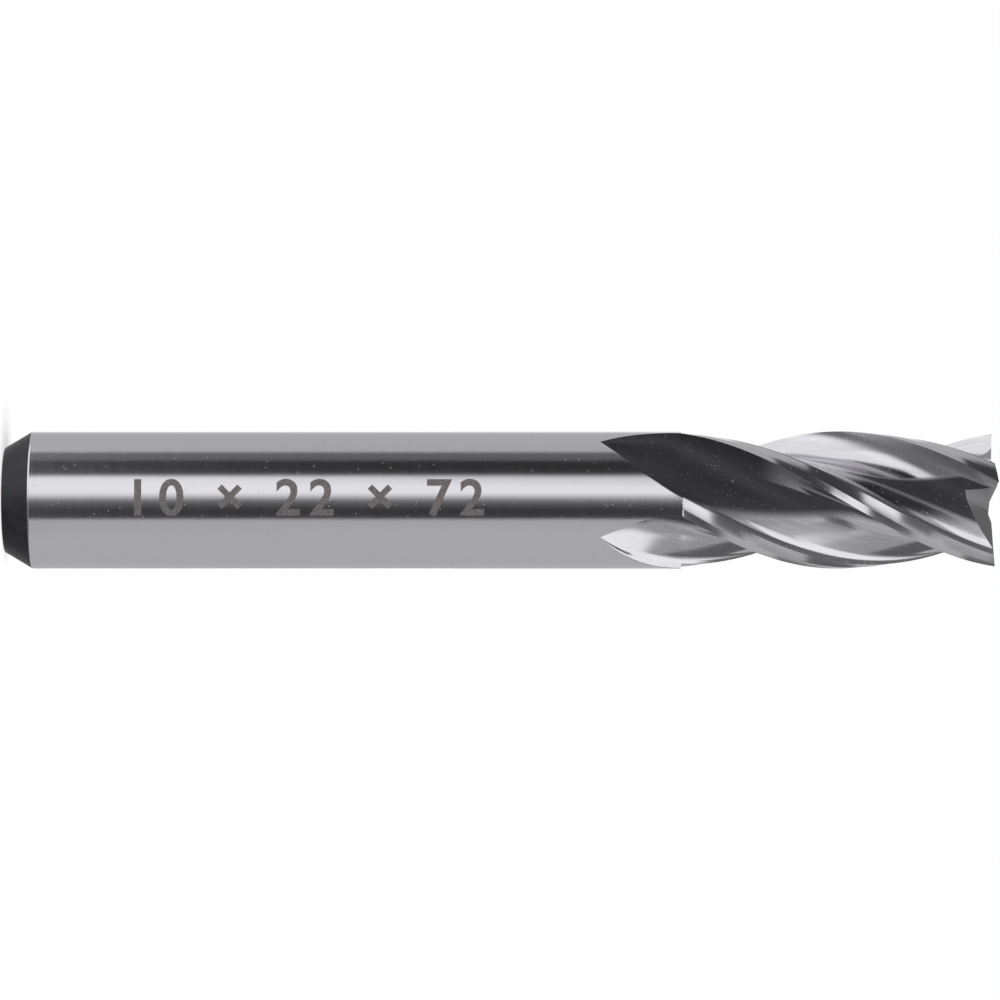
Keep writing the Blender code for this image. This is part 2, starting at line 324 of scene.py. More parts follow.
def shank_end_profile():
    """(radius, height) from the axis outwards, with the index at which the bright steel starts."""
    sink_depth = (COUNTERSINK_RADIUS - CENTRE_DRILL_RADIUS) / math.tan(COUNTERSINK_ANGLE / 2)
    point_height = CENTRE_DRILL_DEPTH + CENTRE_DRILL_RADIUS / math.tan(CENTRE_DRILL_POINT / 2)
    corners = [
        Vector((COUNTERSINK_RADIUS, 0)),
        Vector((EDGE_RADIUS - SHANK_CHAMFER_DEPTH, 0)),
        Vector((EDGE_RADIUS, SHANK_CHAMFER_LENGTH)),
    ]
    drilled = [Vector((0, point_height)), Vector((CENTRE_DRILL_RADIUS, CENTRE_DRILL_DEPTH))]
    before = Vector((CENTRE_DRILL_RADIUS, sink_depth))
    points = drilled + [before]
    for i, corner in enumerate(corners):
        after = corners[i + 1] if i + 1 < len(corners) else Vector((EDGE_RADIUS, RUN_OUT_START))
        start = corner + END_ROUNDING * (before - corner).normalized()
        end = corner + END_ROUNDING * (after - corner).normalized()
        points += rounded_corner(start, corner, end, CORNER_STEPS)
        before = corner
    return points


for radius, height in shank_end_profile()[:: CORNER_STEPS + 1]:
    print("profile, mm:", round(radius / MM, 2), round(height / MM, 2))

# %% [markdown]
# ## One sector of the blank
#
# All rings are joined into a strip: a quarter of the tool that hasn't been twisted yet. It is closed to
# the axis at both ends, so four of them make one solid. The strip is left a little longer than the tool,
# and the end teeth are ground into that spare length afterwards. Each face gets a number that says which
# grinding operation finished it.

# %% The untwisted strip
STATION_SPACING = 0.25 * MM
RUN_OUT_STEPS = 36
RUN_OUT_CROWDING = 1.3
LAND_STEP_RISE = 0.07 * MM
SPARE_LENGTH = 1.0 * MM
SAME_POINT = 1e-6 * MM
SCALE, SHANK, FLUTE, SECONDARY, PRIMARY, END = range(6)


def strip_rings():
    """(height, points) of every ring that has a width, from the centre hole to the spare length."""
    closing = run_out_ring(RUN_OUT_START)
    rings = []
    for radius, height in shank_end_profile()[1:]:
        rings.append((height, [radius / EDGE_RADIUS * point for point in closing]))
    for i in range(RUN_OUT_STEPS + 1):
        height = RUN_OUT_START + (i / RUN_OUT_STEPS) ** RUN_OUT_CROWDING * RUN_OUT_LENGTH
        rings.append((height, run_out_ring(height)))
    start, top = LAND_START + LAND_STEP_RISE, OVERALL_LENGTH + SPARE_LENGTH
    count = round((top - start) / STATION_SPACING)
    for i in range(count + 1):
        height = start + (top - start) * i / count
        rings.append((height, fluted_ring(height)))
    return rings


def finish_at(height, place):
    """Which operation finished the strip at this height, this many points along its ring."""
    flute_ends = PRIMARY_STEPS + len(flute) + CORNER_STEPS
    if height < SHANK_CHAMFER_LENGTH:
        return SCALE
    if PRIMARY_STEPS <= place < flute_ends:
        return FLUTE if height > RUN_OUT_START else SHANK
    if height < LAND_START:
        return SHANK
    return PRIMARY if place < PRIMARY_STEPS else SECONDARY


def finished_mesh(name, mesh):
    data = bpy.data.meshes.new(name)
    mesh.to_mesh(data)
    mesh.free()
    return data


def make_strip():
    mesh = bmesh.new()
    finish = mesh.faces.layers.int.new("finish")
    bottom = mesh.verts.new((0, 0, shank_end_profile()[0].y))
    rows = []
    for height, points in strip_rings():
        row = []
        for point in points:
            place = Vector((point.x, point.y, height))
            if row and (row[-1].co - place).length < SAME_POINT:
                row.append(row[-1])
            else:
                row.append(mesh.verts.new(place))
        rows.append(row)
    for lower, upper in zip([[bottom] * len(rows[0]), *rows], rows):
        for i in range(len(upper) - 1):
            corners = list(dict.fromkeys((lower[i], lower[i + 1], upper[i + 1], upper[i])))
            if len(corners) > 2:
                face = mesh.faces.new(corners)
                middle = sum(corner.co.z for corner in corners) / len(corners)
                face[finish] = finish_at(middle, i)
    top = mesh.verts.new((0, 0, OVERALL_LENGTH + SPARE_LENGTH))
    mesh.faces.new([*rows[-1], top])[finish] = END
    return finished_mesh("strip", mesh)


strip = make_strip()
print("faces in the strip:", len(strip.polygons))

# %% [markdown]
# ## Small helpers for node trees
#
# The materials and the Geometry Nodes tree below are built in code. One helper adds a node and fills its
# inputs, with plain values or with other nodes' outputs. The others are short names for what comes often.

# %% Node helpers
def add_node(tree, kind, inputs=None, **settings):
    """A node with its settings, and its inputs set to values or joined to other nodes' outputs."""
    node = tree.nodes.new(kind)
    for name, value in settings.items():
        setattr(node, name, value)
    for name, value in (inputs or {}).items():
        if isinstance(value, bpy.types.NodeSocket):
            tree.links.new(value, node.inputs[name])
        else:
            node.inputs[name].default_value = value
    return node


def math_node(tree, operation, *values):
    return add_node(tree, "ShaderNodeMath", dict(enumerate(values)), operation=operation).outputs[0]


def vector_node(tree, operation, *values):
    return add_node(tree, "ShaderNodeVectorMath", dict(enumerate(values)), operation=operation).outputs


def times(tree, first, second):
    return math_node(tree, "MULTIPLY", first, second)


def soft_step(tree, value, start, end):
    """0 before start, 1 after end, and smooth between."""
    inputs = {"Value": value, "From Min": start, "From Max": end}
    return add_node(tree, "ShaderNodeMapRange", inputs, interpolation_type="SMOOTHSTEP").outputs[0]


def soft_fall(tree, value, start, end):
    """1 before start, 0 after end, and smooth between."""
    return math_node(tree, "SUBTRACT", 1, soft_step(tree, value, start, end))


def ramp(tree, share, low_value, high_value):
    """From one value to another as the share goes from 0 to 1."""
    return math_node(tree, "MULTIPLY_ADD", share, high_value - low_value, low_value)


def noise(tree, place, scale, detail, roughness=0.5):
    inputs = {"Vector": place, "Scale": scale, "Detail": detail, "Roughness": roughness}
    return add_node(tree, "ShaderNodeTexNoise", inputs).outputs["Fac"]


def blend_colours(tree, share, first, second):
    """A mix of two colours, each a socket or three numbers. The node's colours are its inputs 6 and 7."""
    inputs = {0: share}
    for socket, value in ((6, first), (7, second)):
        inputs[socket] = value if isinstance(value, bpy.types.NodeSocket) else (*value, 1)
    return add_node(tree, "ShaderNodeMix", inputs, data_type="RGBA").outputs[2]


def new_group(name, inputs, outputs, kind="ShaderNodeTree"):
    """An empty node group with named sockets, its given values, and the node that takes its results."""
    tree = bpy.data.node_groups.new(name, kind)
    for in_out, sockets in (("OUTPUT", outputs), ("INPUT", inputs)):
        for socket, socket_kind in sockets.items():
            tree.interface.new_socket(socket, in_out=in_out, socket_type=f"NodeSocket{socket_kind}")
    return tree, tree.nodes.new("NodeGroupInput").outputs, tree.nodes.new("NodeGroupOutput").inputs


def add_group(tree, group, inputs):
    return add_node(tree, "ShaderNodeGroup", inputs, node_tree=group).outputs


def new_material(name):
    """A material, its node tree and its shader."""
    material = bpy.data.materials.new(name)
    material.use_nodes = True
    return material, material.node_tree, material.node_tree.nodes["Principled BSDF"]


def add_bump(tree, shader, height):
    """Tilts the surface as a relief of this height, in metres, would."""
    bump = add_node(tree, "ShaderNodeBump", {"Height": height, "Distance": 1.0, "Strength": 1.0})
    tree.links.new(bump.outputs[0], shader.inputs["Normal"])


print("node helpers ready")

# %% [markdown]
# ## What grinding leaves on steel
#
# Ground steel is never one flat colour. The wheel leaves very fine lines in the direction in which it ran,
# the surface is slightly wavy, and a few pits and specks break the reflections. Each of these is a small
# node group, so that every ground surface can use it in its own way. The first group turns a place on the
# tool back to where it was before the twist, where a flute and its lines run straight along Z.

# %% Group: undo the twist
def untwist_group():
    inputs = {"Place": "Vector", "Twist per metre": "Float", "Tip height": "Float"}
    tree, given, result = new_group("undo_the_twist", inputs, {"Place": "Vector"})
    height = add_node(tree, "ShaderNodeSeparateXYZ", {0: given["Place"]}).outputs["Z"]
    below_tip = math_node(tree, "SUBTRACT", given["Tip height"], height)
    angle = times(tree, below_tip, given["Twist per metre"])
    inputs = {"Vector": given["Place"], "Angle": angle}
    straight = add_node(tree, "ShaderNodeVectorRotate", inputs, rotation_type="Z_AXIS")
    tree.links.new(straight.outputs[0], result["Place"])
    return tree


def place_on_tool(tree, untwisted=False):
    """Object coordinates, as they are or turned back."""
    place = add_node(tree, "ShaderNodeTexCoord").outputs["Object"]
    if untwisted:
        inputs = {"Place": place, "Twist per metre": TWIST, "Tip height": OVERALL_LENGTH}
        place = add_group(tree, UNTWIST, inputs)["Place"]
    return place


UNTWIST = untwist_group()
print("group:", UNTWIST.name)

# %% [markdown]
# The second group gives the grinding lines, which are noise stretched a long way in one direction. Broader
# noise adds the waves. The height bends the reflections, and the tone varies colour and roughness a little.

# %% Group: fine lines and broad waves
LINE_TONES = (0.25, 0.75)


def grinding_group():
    """Height is in metres, and tone lies between 0 and 1."""
    inputs = {"Place": "Vector", "Line scale": "Vector", "Line depth": "Float"}
    inputs |= {"Wave scale": "Float", "Wave depth": "Float"}
    outputs = {"Height": "Float", "Tone": "Float"}
    tree, given, result = new_group("grinding_lines", inputs, outputs)
    stretched = vector_node(tree, "MULTIPLY", given["Place"], given["Line scale"])["Vector"]
    lines = noise(tree, stretched, 1, detail=4, roughness=0.7)
    waves = noise(tree, given["Place"], given["Wave scale"], detail=2)
    line_height = times(tree, lines, given["Line depth"])
    height = math_node(tree, "MULTIPLY_ADD", waves, given["Wave depth"], line_height)
    tree.links.new(height, result["Height"])
    tree.links.new(soft_step(tree, lines, *LINE_TONES), result["Tone"])
    return tree


GRINDING = grinding_group()
print("group:", GRINDING.name)

# %% [markdown]
# The third group scatters the specks. Space is divided into small cells, and a few of them, picked by their
# random number, hold one round speck each.

# %% Group: pits and specks
# Where a speck's edge starts and ends, as a share of its cell
SPECK_RADIUS = (0.15, 0.3)


def speck_group():
    inputs = {"Place": "Vector", "Cells per metre": "Float", "Share of cells": "Float"}
    tree, given, result = new_group("pits_and_specks", inputs, {"Mask": "Float"})
    inputs = {"Vector": given["Place"], "Scale": given["Cells per metre"]}
    cells = add_node(tree, "ShaderNodeTexVoronoi", inputs).outputs
    pick = add_node(tree, "ShaderNodeSeparateColor", {0: cells["Color"]}).outputs[0]
    chosen = math_node(tree, "LESS_THAN", pick, given["Share of cells"])
    speck = soft_fall(tree, cells["Distance"], *SPECK_RADIUS)
    tree.links.new(times(tree, chosen, speck), result["Mask"])
    return tree


def speck_mask(tree, place, cells_per_metre, share):
    inputs = {"Place": place, "Cells per metre": cells_per_metre, "Share of cells": share}
    return add_group(tree, SPECKS, inputs)["Mask"]


SPECKS = speck_group()
print("group:", SPECKS.name)

# %% [markdown]
# ## Painted shade in the flutes
#
# The bottoms of the flutes are darkened in their colour: painted shade and painted dark reflections. One
# flute has it over its run-out and then along its bottom, up to a border that slants over the flute: a
# straight line before the twist.

# %% Painted shade in one flute
# The colour of the painted shade: near black, and not metal where it is full
PAINTED_SHADE = (0.042, 0.041, 0.047)
FLUTE_MIDDLE = (1.2 * MM, 2.0 * MM)
ACROSS_ZERO = math.radians(15.0)
DARK_FLUTE = FIRST_TOOTH_ANGLE
BORDER_SLANT = 0.366
BORDER = (21.96 * MM, 23.16 * MM)
HOOK_SIDE = (-0.55 * MM, -0.3 * MM)
RUN_OUT_DARK = (54.5 * MM, 59.5 * MM)


def out_towards(tree, place, angle):
    """How far a place lies out from the axis in the direction of this angle."""
    out = at_angle(1, angle)
    return vector_node(tree, "DOT_PRODUCT", place, (out.x, out.y, 0))["Value"]


def within_flute(tree, straight, tooth_angle):
    """1 inside the flute that follows this tooth, and how far a place lies across it."""
    inside = soft_step(tree, out_towards(tree, straight, tooth_angle + 0.5 * SECTOR), *FLUTE_MIDDLE)
    return inside, out_towards(tree, straight, tooth_angle + ACROSS_ZERO + math.radians(90))


# Painted shade over one flute's run-out and along its bottom
def dark_flute_painted_shade(tree, height, straight):
    inside, across = within_flute(tree, straight, DARK_FLUTE)
    slanted = math_node(tree, "ADD", across, times(tree, height, BORDER_SLANT))
    bottom = soft_fall(tree, slanted, *BORDER)
    beside_hook = soft_step(tree, across, *HOOK_SIDE)
    off_hook = math_node(tree, "MAXIMUM", beside_hook, soft_fall(tree, height, *RUN_OUT_DARK))
    return times(tree, inside, times(tree, bottom, off_hook))


print("the border slants by, degrees:", round(math.degrees(math.atan(BORDER_SLANT)), 1))

# %% [markdown]
# Painted shade also darkens the flute next to it along the core in front of its end teeth, and a little on
# the rake beside it.
# Every flute has a narrow line of painted shade beside its heel.

# %% Painted shade in front of the end teeth and beside the heels
FRONT_FLUTE = FIRST_TOOTH_ANGLE + 3 * SECTOR
FRONT_LEAN = 2.8
FRONT = (66.6 * MM, 67.8 * MM)
FRONT_CORE = (3.45 * MM, 3.75 * MM)
RAKE_SIDE = (-1.0 * MM, -0.7 * MM)
RAKE_FRONT = (59.5 * MM, 64.5 * MM)
RAKE_SHARE = 0.4
HEEL_ANGLE = FIRST_TOOTH_ANGLE + math.radians(71.0)
HEEL_LINE = (4.36 * MM, 4.46 * MM)
HEEL_NEARNESS = (0.6, 0.85)
HEEL_LINE_START = (50.0 * MM, 52.0 * MM)
HEEL_SHARE = 0.85


# Painted shade along the core in front of the end teeth and on the rake beside it
def front_painted_shade(tree, height, radius, straight):
    inside, across = within_flute(tree, straight, FRONT_FLUTE)
    leaning = math_node(tree, "ADD", height, times(tree, across, FRONT_LEAN))
    core = times(tree, soft_fall(tree, radius, *FRONT_CORE), soft_step(tree, leaning, *FRONT))
    rake = times(tree, soft_fall(tree, across, *RAKE_SIDE), soft_step(tree, height, *RAKE_FRONT))
    return times(tree, inside, math_node(tree, "MAXIMUM", core, times(tree, rake, RAKE_SHARE)))


# Painted shade in a narrow line beside every heel
def heel_painted_shade(tree, height, radius, straight):
    axes = add_node(tree, "ShaderNodeSeparateXYZ", {0: straight}).outputs
    angle = math_node(tree, "ARCTAN2", axes["Y"], axes["X"])
    from_heel = math_node(tree, "SUBTRACT", angle, HEEL_ANGLE)
    nearness = math_node(tree, "COSINE", times(tree, from_heel, TOOTH_COUNT))
    line = times(tree, soft_step(tree, radius, *HEEL_LINE), soft_step(tree, nearness, *HEEL_NEARNESS))
    return times(tree, times(tree, line, HEEL_SHARE), soft_step(tree, height, *HEEL_LINE_START))


def painted_shade_share(tree):
    """How much painted shade darkens the flutes, from 0 to 1."""
    height = add_node(tree, "ShaderNodeSeparateXYZ", {0: place_on_tool(tree)}).outputs["Z"]
    straight = place_on_tool(tree, untwisted=True)
    flat = vector_node(tree, "MULTIPLY", straight, (1, 1, 0))["Vector"]
    radius = vector_node(tree, "LENGTH", flat)["Value"]
    share = dark_flute_painted_shade(tree, height, straight)
    for more in (front_painted_shade, heel_painted_shade):
        share = math_node(tree, "MAXIMUM", share, more(tree, height, radius, straight))
    return share


print("heel lines start at, mm:", round(HEEL_LINE_START[0] / MM))

# %% [markdown]
# ## The finishes
#
# Every ground surface is the same steel with its own roughness, lines and waves. The lines run round the
# shank and the lands, as a wheel leaves them on a turning bar, and along the flutes.

# %% Ground steel
STEEL = (0.70, 0.694, 0.716)
END_STEEL = (0.45, 0.45, 0.455)
SPECKS_PER_METRE = 9000
SPECK_COLOUR = (0.75, 0.75, 0.76)
SPECK_HEIGHT = 0.008 * MM
SPECK_ROUGHNESS = 0.25
# Roughness added where the shade is painted into the flutes
PAINTED_SHADE_ROUGHNESS = 0.4
ROUGHNESS_SPREAD = (0.9, 1.1)


def ground_steel(name, colour, roughness, contrast, lines, waves, speck_share, untwisted, with_painted_shade=False):
    """Bright ground steel. Lines and waves are each given as (scale, depth in metres)."""
    material, tree, shader = new_material(name)
    place = place_on_tool(tree, untwisted)
    inputs = {"Place": place, "Line scale": lines[0], "Line depth": lines[1]}
    grinding = add_group(tree, GRINDING, {**inputs, "Wave scale": waves[0], "Wave depth": waves[1]})
    speck = speck_mask(tree, place, SPECKS_PER_METRE, speck_share)
    darker = [part * (1 - contrast) for part in colour]
    tone = blend_colours(tree, grinding["Tone"], darker, colour)
    grain = ramp(tree, grinding["Tone"], *(share * roughness for share in ROUGHNESS_SPREAD))
    rough = math_node(tree, "MULTIPLY_ADD", speck, SPECK_ROUGHNESS, grain)
    shader.inputs["Metallic"].default_value = 1
    # Painted shade: the flutes' colour is darkened and made less metallic where the mask lies
    if with_painted_shade:
        painted_shade_amount = painted_shade_share(tree)
        tone = blend_colours(tree, painted_shade_amount, tone, PAINTED_SHADE)
        rough = math_node(tree, "MULTIPLY_ADD", painted_shade_amount, PAINTED_SHADE_ROUGHNESS, rough)
        tree.links.new(math_node(tree, "SUBTRACT", 1, painted_shade_amount), shader.inputs["Metallic"])
    tree.links.new(blend_colours(tree, speck, tone, SPECK_COLOUR), shader.inputs["Base Color"])
    tree.links.new(rough, shader.inputs["Roughness"])
    add_bump(tree, shader, math_node(tree, "MULTIPLY_ADD", speck, SPECK_HEIGHT, grinding["Height"]))
    return material


print("steel:", STEEL)

# %% [markdown]
# Two surfaces aren't bright: the shank's end with the thin black scale of its heat treatment, and the dull,
# grainy film of the etched mark.

# %% Black scale and the etched film
SCALE_DARK = (0.012, 0.013, 0.017)
SCALE_LIGHT = (0.03, 0.031, 0.034)
SCALE_TONES = (0.3, 0.75)
SCALE_ROUGHNESS = (0.3, 0.6)
SCALE_CLOUDS = 900
SCALE_RELIEF = 0.01 * MM
SCALE_SPECK = (0.16, 0.17, 0.19)
SCALE_SPECKS_PER_METRE = 2600
SCALE_SPECK_SHARE = 0.05

MARK_DARK = (0.17, 0.152, 0.15)
MARK_LIGHT = (0.33, 0.305, 0.30)
MARK_TONES = (0.3, 0.7)
MARK_ROUGHNESS = (0.5, 0.75)
MARK_GRAIN = 9000
MARK_RELIEF = 0.004 * MM
MARK_METALLIC = 0.5


def black_scale():
    """Clouded black with a few lighter specks."""
    material, tree, shader = new_material("black_scale")
    place = place_on_tool(tree)
    cloud = noise(tree, place, SCALE_CLOUDS, detail=5, roughness=0.6)
    speck = speck_mask(tree, place, SCALE_SPECKS_PER_METRE, SCALE_SPECK_SHARE)
    tone = blend_colours(tree, soft_step(tree, cloud, *SCALE_TONES), SCALE_DARK, SCALE_LIGHT)
    tree.links.new(blend_colours(tree, speck, tone, SCALE_SPECK), shader.inputs["Base Color"])
    tree.links.new(ramp(tree, cloud, *SCALE_ROUGHNESS), shader.inputs["Roughness"])
    add_bump(tree, shader, times(tree, cloud, SCALE_RELIEF))
    return material


def etched_mark():
    material, tree, shader = new_material("etched_mark")
    grain = noise(tree, place_on_tool(tree), MARK_GRAIN, detail=3)
    tone = blend_colours(tree, soft_step(tree, grain, *MARK_TONES), MARK_DARK, MARK_LIGHT)
    tree.links.new(tone, shader.inputs["Base Color"])
    shader.inputs["Metallic"].default_value = MARK_METALLIC
    tree.links.new(ramp(tree, grain, *MARK_ROUGHNESS), shader.inputs["Roughness"])
    add_bump(tree, shader, times(tree, grain, MARK_RELIEF))
    return material


print("black scale:", SCALE_DARK, "to", SCALE_LIGHT)

# %% [markdown]
# The two lands are ground alike. The end teeth are rougher and darker, because a coarser wheel cuts them.

# %% The material of each finish
# Roughness, contrast, scale and depth of the lines, scale and depth of the waves, share of specks
SHANK_GRINDING = (0.16, 0.03, ((500, 500, 9000), 5e-8), (260, 6e-6), 0.02)
FLUTE_GRINDING = (0.15, 0.12, ((4500, 4500, 250), 4.5e-7), (300, 4e-6), 0.04)
LAND_GRINDING = (0.17, 0.06, ((600, 600, 9000), 1e-7), (300, 3e-6), 0.02)
END_GRINDING = (0.42, 0.15, ((900, 6000, 900), 5e-7), (500, 3e-6), 0.02)

FINISHES = {
    SCALE: black_scale(),
    SHANK: ground_steel("ground_shank", STEEL, *SHANK_GRINDING, untwisted=False),
    # The flutes carry painted shade in their bottoms
    FLUTE: ground_steel("ground_flute", STEEL, *FLUTE_GRINDING, untwisted=True, with_painted_shade=True),
    SECONDARY: ground_steel("ground_secondary_land", STEEL, *LAND_GRINDING, untwisted=True),
    PRIMARY: ground_steel("ground_primary_land", STEEL, *LAND_GRINDING, untwisted=True),
    END: ground_steel("ground_end", END_STEEL, *END_GRINDING, untwisted=False),
}
print("finishes:", [material.name for material in FINISHES.values()])

# %% [markdown]
# ## Four teeth and a twist
#
# A Geometry Nodes tree repeats the strip round the axis, once for each tooth, merges the copies into one
# closed bar and twists it above the start of the run-out. Set Material nodes give each face its finish.

# %% The tree that repeats the strip and twists it
FLUTING_VALUES = {
    "Teeth": TOOTH_COUNT,
    "Twist per metre": TWIST,
    "Twist starts at": RUN_OUT_START,
    "Tip height": OVERALL_LENGTH,
    "Edge angle at the tip": FIRST_TOOTH_ANGLE,
    "Merge distance": 1e-4 * MM,
}


def fluting_tree():
    kinds = {name: "Int" if isinstance(value, int) else "Float" for name, value in FLUTING_VALUES.items()}
    sockets = {"Geometry": "Geometry"}
    tree, given, result = new_group("repeat_and_twist", sockets | kinds, sockets, "GeometryNodeTree")
    points = add_node(tree, "GeometryNodeMeshLine", {"Count": given["Teeth"], "Offset": (0, 0, 0)})
    index = add_node(tree, "GeometryNodeInputIndex").outputs[0]
    turn = times(tree, index, math_node(tree, "DIVIDE", 2 * math.pi, given["Teeth"]))
    euler = add_node(tree, "ShaderNodeCombineXYZ", {"Z": turn}).outputs[0]
    rotation = add_node(tree, "FunctionNodeEulerToRotation", {0: euler}).outputs[0]
    inputs = {"Points": points.outputs[0], "Instance": given["Geometry"], "Rotation": rotation}
    copies = add_node(tree, "GeometryNodeInstanceOnPoints", inputs).outputs[0]
    real = add_node(tree, "GeometryNodeRealizeInstances", {0: copies}).outputs[0]
    inputs = {"Geometry": real, "Distance": given["Merge distance"]}
    joined = add_node(tree, "GeometryNodeMergeByDistance", inputs).outputs[0]
    position = add_node(tree, "GeometryNodeInputPosition").outputs[0]
    height = add_node(tree, "ShaderNodeSeparateXYZ", {0: position}).outputs["Z"]
    above = math_node(tree, "MAXIMUM", height, given["Twist starts at"])
    below_tip = math_node(tree, "SUBTRACT", above, given["Tip height"])
    values = below_tip, given["Twist per metre"], given["Edge angle at the tip"]
    angle = math_node(tree, "MULTIPLY_ADD", *values)
    inputs = {"Vector": position, "Angle": angle}
    twisted = add_node(tree, "ShaderNodeVectorRotate", inputs, rotation_type="Z_AXIS").outputs[0]
    inputs = {"Geometry": joined, "Position": twisted}
    geometry = add_node(tree, "GeometryNodeSetPosition", inputs).outputs[0]
    finish = add_node(tree, "GeometryNodeInputNamedAttribute", {"Name": "finish"}, data_type="INT").outputs[0]
    for number, material in FINISHES.items():
        # The node compares whole numbers at its inputs 2 and 3
        inputs = {2: finish, 3: number}
        chosen = add_node(tree, "FunctionNodeCompare", inputs, data_type="INT", operation="EQUAL").outputs[0]
        inputs = {"Geometry": geometry, "Selection": chosen, "Material": material}
        geometry = add_node(tree, "GeometryNodeSetMaterial", inputs).outputs[0]
    tree.links.new(geometry, result["Geometry"])
    return tree


FLUTING = fluting_tree()
print("nodes in the tree:", len(FLUTING.nodes))

# %% [markdown]
# The strip becomes the tool's object, with the tree as its modifier. A modifier's values are set by the
# identifier of each socket, because two sockets may share a name.

# %% The fluted bar
def set_inputs(modifier, values):
    for item in modifier.node_group.interface.items_tree:
        if item.name in values and item.in_out == "INPUT":
            modifier[item.identifier] = values[item.name]


strip.materials.append(FINISHES[SCALE])
end_mill = new_object("end_mill_ground", strip)
fluting = end_mill.modifiers.new("fluting", "NODES")
fluting.node_group = FLUTING
set_inputs(fluting, FLUTING_VALUES)
print("values of the modifier:", len(FLUTING_VALUES))

# %% [markdown]
# ## The end teeth
#
# The end of the bar is ground in three operations. A hollow cone gives the dish, so that only the corners
# touch a flat face. A sloping cut behind each end edge gives its relief. A gash in front of each edge makes
# room for its chips. Two opposite gashes run past the centre, the other two stop short of it. Each operation
# is modelled as the volume that the wheel takes away.

# %% Volumes that are cut away
CUTTER_MARGIN = 1.0 * MM
CUTTER_TOP = OVERALL_LENGTH + 2 * CUTTER_MARGIN
CUTTER_REACH = EDGE_RADIUS + CUTTER_MARGIN
DISH_ANGLE = math.radians(3.0)
END_RELIEF = math.radians(7.0)
TURNED_STEPS = 96


def make_cutter(name, mesh):
    bmesh.ops.recalc_face_normals(mesh, faces=mesh.faces)
    data = finished_mesh(name, mesh)
    data.materials.append(FINISHES[END])
    return new_object(name, data)


def prism_cutter(name, lower, upper):
    mesh = bmesh.new()
    rings = [[mesh.verts.new(place) for place in outline] for outline in (lower, upper)]
    for i in range(len(lower)):
        j = (i + 1) % len(lower)
        mesh.faces.new((rings[0][i], rings[0][j], rings[1][j], rings[1][i]))
    mesh.faces.new(rings[0])
    mesh.faces.new(rings[1])
    return make_cutter(name, mesh)


def end_height(along, behind=0.0):
    """Height of a tooth's end: along its edge from the axis, and behind that edge."""
    return OVERALL_LENGTH - (EDGE_RADIUS - along) * math.tan(DISH_ANGLE) - behind * math.tan(END_RELIEF)


def dish_cutter():
    mesh = bmesh.new()
    tip = mesh.verts.new((0, 0, end_height(0)))
    rings = []
    for height in (end_height(CUTTER_REACH), CUTTER_TOP):
        places = [at_angle(CUTTER_REACH, 2 * math.pi * i / TURNED_STEPS) for i in range(TURNED_STEPS)]
        rings.append([mesh.verts.new((*place, height)) for place in places])
    for i in range(TURNED_STEPS):
        j = (i + 1) % TURNED_STEPS
        mesh.faces.new((tip, rings[0][i], rings[0][j]))
        mesh.faces.new((rings[0][i], rings[1][i], rings[1][j], rings[0][j]))
    mesh.faces.new(rings[1])
    return make_cutter("dish_cutter", mesh)


print("depth of the dish at the axis, mm:", round((OVERALL_LENGTH - end_height(0)) / MM, 3))

# %% [markdown]
# In a tooth's own coordinates, along its end edge and ahead of it, the relief and the gash are plain prisms,
# and every tooth uses the same ones, turned to its place.

# %% Relief and gash of each end tooth
CENTRE_WEB = 0.20 * MM
WEB_CLEARANCE = 0.02 * MM
GASH_ANGLE = math.radians(30.0)
GASH_FLOOR_WIDTH = 0.60 * MM
GASH_SIDE_ANGLE = math.radians(20.0)
LONG_GASH_DEPTH = 0.30 * MM
SHORT_GASH_START = 0.90 * MM


def place_by_tooth(angle, along, ahead, height):
    return Vector((*turned(Vector((along, ahead)), angle), height))


def end_relief_cutter(tooth, angle):
    near, far = CENTRE_WEB / 2 + WEB_CLEARANCE, CUTTER_REACH
    corners = [(near, -far), (far, -far), (far, CENTRE_WEB), (near, CENTRE_WEB)]
    lower = [place_by_tooth(angle, along, ahead, end_height(along, -ahead)) for along, ahead in corners]
    upper = [place_by_tooth(angle, along, ahead, CUTTER_TOP) for along, ahead in corners]
    return prism_cutter(f"end_relief_cutter_{tooth}", lower, upper)


def gash_cutter(tooth, angle):
    slope = math.tan(GASH_ANGLE)
    if tooth % 2 == 1:
        height_on_axis = end_height(0) - LONG_GASH_DEPTH
    else:
        height_on_axis = end_height(0) + SHORT_GASH_START * slope
    outlines = []
    for along in (-CUTTER_MARGIN, CUTTER_REACH):
        wall = CENTRE_WEB / 2 * (1 - along / EDGE_RADIUS)
        floor = height_on_axis - along * slope
        side = wall + GASH_FLOOR_WIDTH
        section = [
            (wall, floor),
            (side, floor),
            (side + CUTTER_REACH, floor + CUTTER_REACH * math.tan(GASH_SIDE_ANGLE)),
            (side + CUTTER_REACH, CUTTER_TOP + CUTTER_REACH),
            (wall, CUTTER_TOP + CUTTER_REACH),
        ]
        outlines.append([place_by_tooth(angle, along, ahead, height) for ahead, height in section])
    return prism_cutter(f"gash_cutter_{tooth}", *outlines)


tooth_angles = [FIRST_TOOTH_ANGLE + tooth * SECTOR for tooth in range(TOOTH_COUNT)]
cutters = [dish_cutter()]
cutters += [end_relief_cutter(tooth, angle) for tooth, angle in enumerate(tooth_angles)]
cutters += [gash_cutter(tooth, angle) for tooth, angle in enumerate(tooth_angles)]
print("cutters:", len(cutters))

# %% [markdown]
# The cutters are taken from the bar one after another, and each leaves its finish on the faces that it cuts.
# The result is shaded smooth, except across the edges that the wheel left sharp.

# %% Grind the end teeth
SHARP_ANGLE = math.radians(12.0)

for cutter in cutters:
    cut = end_mill.modifiers.new(cutter.name, "BOOLEAN")
    cut.operation = "DIFFERENCE"
    cut.solver = "MANIFOLD"
    cut.material_mode = "TRANSFER"
    cut.object = cutter

